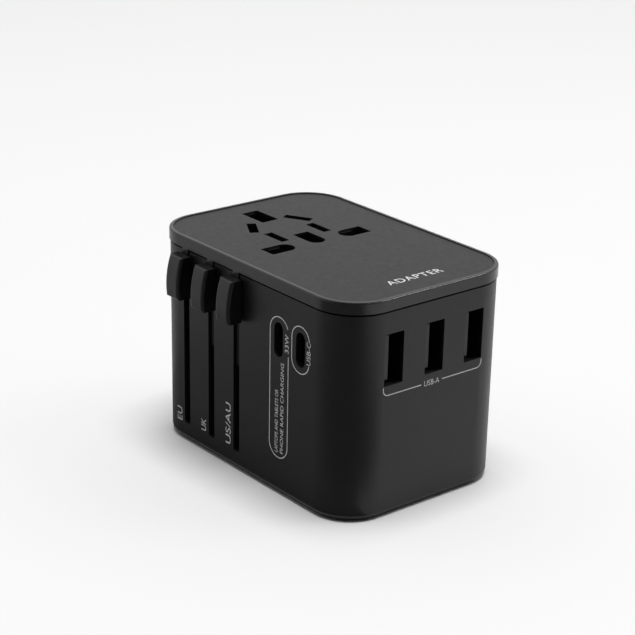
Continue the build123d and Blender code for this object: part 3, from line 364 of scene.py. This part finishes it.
# Outlines around the USB-C ports, open on the +X side for their names
pill_low_x, pill_high_x = 9.8, 16.5
pill_low_z, pill_high_z = 9.4, 44.0
pill_radius = (pill_high_x - pill_low_x) / 2
pill_middle = (pill_low_x + pill_high_x) / 2
print_line("print_outline_fast_port",
           [*arc(pill_middle, pill_high_z - pill_radius, pill_radius, 22, 180),
            *arc(pill_middle, pill_low_z + pill_radius, pill_radius, 180, 360),
            (pill_high_x, 35.4)], FRONT)
ring_low_x, ring_high_x = 17.7, 23.9
ring_low_z, ring_high_z = 32.9, 44.1
ring_radius = (ring_high_x - ring_low_x) / 2
ring_middle = (ring_low_x + ring_high_x) / 2
print_line("print_outline_second_port",
           [*arc(ring_middle, ring_high_z - ring_radius, ring_radius, 5, 180),
            *arc(ring_middle, ring_low_z + ring_radius, ring_radius, 180, 352)], FRONT)
port_name_height = 1.35
note_height = 1.15
print_words("print_fast_port_power", "33W", FRONT_UP, 38.4, -15.9, port_name_height, length=4.4)
print_words("print_second_port_name", "USB-C", FRONT_UP, 38.5, -23.7, port_name_height, length=5.4)
print_words("print_use_line_1", "LAPTOPS AND TABLETS OR", FRONT_UP, 18.4, -12.4, note_height, length=15.6)
print_words("print_use_line_2", "PHONE RAPID CHARGING", FRONT_UP, 22.0, -14.4, note_height, length=22.4)

# Bracket under the USB-A ports, in two halves with the ports' name between them
bracket_z = 30.1
bracket_radius = 1.4
bracket_rise = 2.0
for name, end, gap in (("left", -14.3, -3.0), ("right", 15.3, 3.3)):
    side = 1 if end > 0 else -1
    corner = end - side * bracket_radius
    bend = arc(corner, bracket_z + bracket_radius, bracket_radius, 270, 360 if side > 0 else 180, 10)
    print_line(f"print_bracket_{name}", [(gap, bracket_z), *bend, (end, bracket_z + bracket_rise)], SIDE)
print_words("print_usb_a_name", "USB-A", SIDE, 0.15, bracket_z, port_name_height, length=4.6)

# Plain word on the top, along the +X edge
print_words("print_top_name", "ADAPTER", TOP, 0.7, -29.0, 2.3, length=16.0, spacing=1.12)


# ---------------------------------------------------------------- floor and studio
def plain_card(name, vertices, faces, value):
    """A flat matt surface of one grey, part of the studio and not of the object."""
    mesh = bpy.data.meshes.new(name)
    mesh.from_pydata(vertices, [], faces)
    card = bpy.data.objects.new(name, mesh)
    bpy.context.scene.collection.objects.link(card)
    material, tree, shader = new_material(name)
    shader.inputs["Base Color"].default_value = (*grey(value), 1.0)
    shader.inputs["Roughness"].default_value = 0.9
    shader.inputs["Specular IOR Level"].default_value = 0.0
    mesh.materials.append(material)
    return card


# The floor lies just under the object. It is clear from below, and open under the flat part of the
# object's base, where the plugs slide out
floor_drop = 0.05 * MM
floor_value = 0.50
corner_radius = 10.6 * MM
base_border = 2.2 * MM
opening_radius = corner_radius - base_border
arc_x = housing_high.x - corner_radius
arc_y = housing_high.y - corner_radius
opening = []
for corner_x, corner_y, start in ((arc_x, arc_y, 0), (-arc_x, arc_y, 90), (-arc_x, -arc_y, 180),
                                  (arc_x, -arc_y, 270)):
    opening += arc(corner_x, corner_y, opening_radius, start, start + 90, 8)
corners = len(opening)
floor_scale = 85.0
floor_points = [(x * scale, y * scale, 0) for scale in (1.0, floor_scale) for x, y in opening]
floor_faces = [(i, i + corners, (i + 1) % corners + corners, (i + 1) % corners) for i in range(corners)]
floor = plain_card("floor", floor_points, floor_faces, floor_value)
floor.location.z = -floor_drop
floor_tree = floor.data.materials[0].node_tree
side_seen = add_node(floor_tree, "ShaderNodeNewGeometry")
clear = add_node(floor_tree, "ShaderNodeBsdfTransparent")
floor_mix = add_node(floor_tree, "ShaderNodeMixShader")
floor_tree.links.new(side_seen.outputs["Backfacing"], floor_mix.inputs["Fac"])
floor_tree.links.new(floor_tree.nodes["Principled BSDF"].outputs["BSDF"], floor_mix.inputs[1])
floor_tree.links.new(clear.outputs["BSDF"], floor_mix.inputs[2])
floor_tree.links.new(floor_mix.outputs["Shader"], floor_tree.nodes["Material Output"].inputs["Surface"])

# Camera, fitted to the photograph's viewing angle
camera_azimuth = math.radians(50.12)
camera_elevation = math.radians(22.89)
camera_roll = math.radians(1.41)
camera_distance = 0.4369
camera_aside = 0.00174
camera_lift = -0.00782
back = Vector((math.sin(camera_azimuth) * math.cos(camera_elevation),
               -math.cos(camera_azimuth) * math.cos(camera_elevation),
               math.sin(camera_elevation)))
right = Vector((math.cos(camera_azimuth), math.sin(camera_azimuth), 0))
up = back.cross(right)
rolled_right = math.cos(camera_roll) * right + math.sin(camera_roll) * up
rolled_up = math.cos(camera_roll) * up - math.sin(camera_roll) * right
middle = Vector((0, 0, cad_high.z / 2))
place = middle + back * camera_distance + rolled_right * camera_aside + rolled_up * camera_lift
camera_data = bpy.data.cameras.new("camera")
camera_data.sensor_width = 36.0
camera_data.lens = 103.1
camera_data.shift_x = -0.0276
camera_data.shift_y = 0.0984
camera_data.clip_start = 0.01
camera = bpy.data.objects.new("camera", camera_data)
bpy.context.scene.collection.objects.link(camera)
camera.matrix_world = Matrix((rolled_right, rolled_up, back)).transposed().to_4x4()
camera.location = place
bpy.context.scene.camera = camera


def add_light(name, position, size, watts, lights_matt=True, reflected=True):
    """A square soft light that faces the object, and whether matt and glossy surfaces show it."""
    data = bpy.data.lights.new(name, "AREA")
    data.shape = "SQUARE"
    data.size = size
    data.energy = watts
    light = bpy.data.objects.new(name, data)
    bpy.context.scene.collection.objects.link(light)
    light.location = position
    light.rotation_euler = (middle - position).to_track_quat("-Z", "Y").to_euler()
    light.visible_diffuse = lights_matt
    light.visible_glossy = reflected


toward = Vector((back.x, back.y, 0)).normalized()
overhead = Vector((0, 0, 1))
# The rim light draws the bright line along the rim's +X edge, and the key light stands in the same place
key_place = 1.2 * Vector((0.39, 0.59, 0.71))
add_light("fill_light", 0.1 * toward + 0.1 * right + 2.2 * overhead, 1.0, 66.0, reflected=False)
add_light("key_light", key_place, 0.40, 1.2, reflected=False)
add_light("rim_light", key_place, 0.17, 8.0, lights_matt=False)

# Dark cards, seen only in reflections: three lie on the floor, one stands on the camera's side. Each
# has its place to the right, towards the camera and up, its width and height, its grey, and its stance
cards = (("flag_near_corner", (-0.06, 0.20, 0.0020), (0.26, 0.30), 0.10, "lies"),
         ("flag_left_near", (-0.055, 0.035, 0.0016), (0.13, 0.14), 0.16, "lies"),
         ("flag_left_far", (-0.30, -0.05, 0.0012), (0.50, 0.60), 0.34, "lies"),
         ("flag_standing", (-0.02, 0.36, 0.25), (0.34, 0.50), 0.10, "stands"))
for name, (aside, forward, lift), (width, height), value, stance in cards:
    half_width = width / 2
    half_height = height / 2
    outline = [(-half_width, -half_height, 0), (half_width, -half_height, 0), (half_width, half_height, 0),
               (-half_width, half_height, 0)]
    flag = plain_card(name, outline, [(0, 1, 2, 3)], value)
    flag.location = toward * forward + right * aside + overhead * lift
    if stance == "lies":
        flag.rotation_euler = (0, 0, math.atan2(toward.y, toward.x) + math.pi / 2)
    else:
        flag.rotation_euler = (-toward).to_track_quat("Z", "Y").to_euler()
    flag.visible_camera = False
    flag.visible_shadow = False
    flag.visible_diffuse = False

# A white room that is darker on the camera's side
world = bpy.data.worlds.new("studio")
world.use_nodes = True
bpy.context.scene.world = world
room = world.node_tree
direction = add_node(room, "ShaderNodeTexCoord")
facing = add_node(room, "ShaderNodeVectorMath", operation="DOT_PRODUCT")
facing.inputs[1].default_value = toward
share = add_node(room, "ShaderNodeMapRange", interpolation_type="SMOOTHSTEP")
share.inputs["From Min"].default_value = -0.1
share.inputs["From Max"].default_value = 0.75
share.inputs["To Min"].default_value = 0.86
share.inputs["To Max"].default_value = 0.04
room.links.new(direction.outputs["Generated"], facing.inputs[0])
room.links.new(facing.outputs["Value"], share.inputs["Value"])
room.links.new(share.outputs["Result"], room.nodes["Background"].inputs["Strength"])
room.nodes["Background"].inputs["Color"].default_value = (1.0, 1.0, 1.0, 1.0)
bpy.context.scene.view_settings.view_transform = "Standard"
